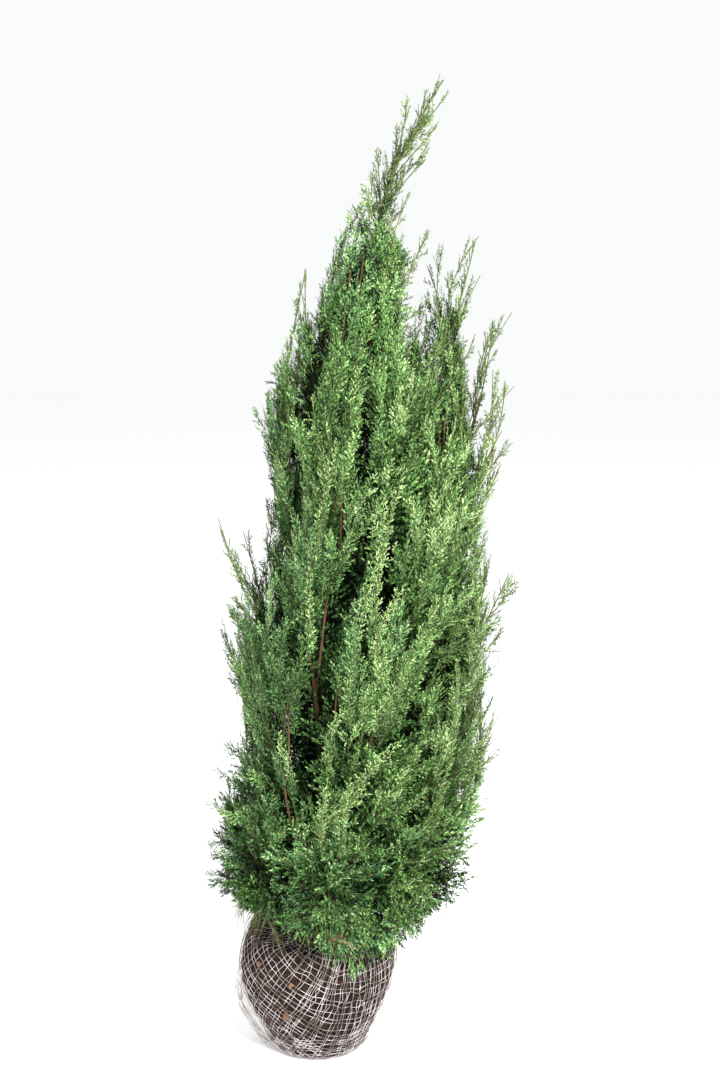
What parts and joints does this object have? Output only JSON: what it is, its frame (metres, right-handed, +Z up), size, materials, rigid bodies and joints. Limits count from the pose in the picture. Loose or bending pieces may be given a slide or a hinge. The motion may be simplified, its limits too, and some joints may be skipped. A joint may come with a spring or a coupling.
{
  "type": "lawson cypress on its root ball",
  "caption": "Young columnar conifer with steep feathery plumes on a leaning trunk and a second leader, standing on the flat underside of its net-wrapped ball of soil.",
  "frame": {"origin": "middle of the root ball's flat underside, on the ground", "axes": "+Z up, +X to the right of the front view, the front faces -Y"},
  "size_m": [0.4869, 0.4145, 1.5276],
  "materials": {
    "soil": "rough moist soil behind pale netting",
    "bark": "thin red-brown bark, finely fissured",
    "foliage": "matt scale leaves in flat sprays, blue-green to yellow-green"
  },
  "bodies": {
    "root": {"bough_lower_1": "bark", "bough_lower_2": "bark", "bough_lower_3": "bark", "bough_lower_4": "bark", "bough_lower_5": "bark", "bough_lower_6": "bark", "bough_middle_1": "bark", "bough_middle_2": "bark", "bough_middle_3": "bark", "bough_middle_4": "bark", "bough_middle_5": "bark", "bough_side_1": "bark", "bough_side_2": "bark", "bough_side_3": "bark", "bough_skirt_1": "bark", "bough_skirt_2": "bark", "bough_skirt_3": "bark", "bough_skirt_4": "bark", "bough_skirt_5": "bark", "bough_skirt_6": "bark", "bough_skirt_7": "bark", "bough_upper_1": "bark", "bough_upper_2": "bark", "bough_upper_3": "bark", "bough_upper_4": "bark", "bough_upper_5": "bark", "foliage_lower_1": "foliage", "foliage_lower_2": "foliage", "foliage_lower_3": "foliage", "foliage_lower_4": "foliage", "foliage_lower_5": "foliage", "foliage_lower_6": "foliage", "foliage_middle_1": "foliage", "foliage_middle_2": "foliage", "foliage_middle_3": "foliage", "foliage_middle_4": "foliage", "foliage_middle_5": "foliage", "foliage_second_leader_tip": "foliage", "foliage_side_1": "foliage", "foliage_side_2": "foliage", "foliage_side_3": "foliage", "foliage_skirt_1": "foliage", "foliage_skirt_2": "foliage", "foliage_skirt_3": "foliage", "foliage_skirt_4": "foliage", "foliage_skirt_5": "foliage", "foliage_skirt_6": "foliage", "foliage_skirt_7": "foliage", "foliage_top_1": "foliage", "foliage_top_2": "foliage", "foliage_top_3": "foliage", "foliage_trunk_tip": "foliage", "foliage_upper_1": "foliage", "foliage_upper_2": "foliage", "foliage_upper_3": "foliage", "foliage_upper_4": "foliage", "foliage_upper_5": "foliage", "root_ball": "soil", "second_leader": "bark", "trunk": "bark"}
  },
  "joints": []
}
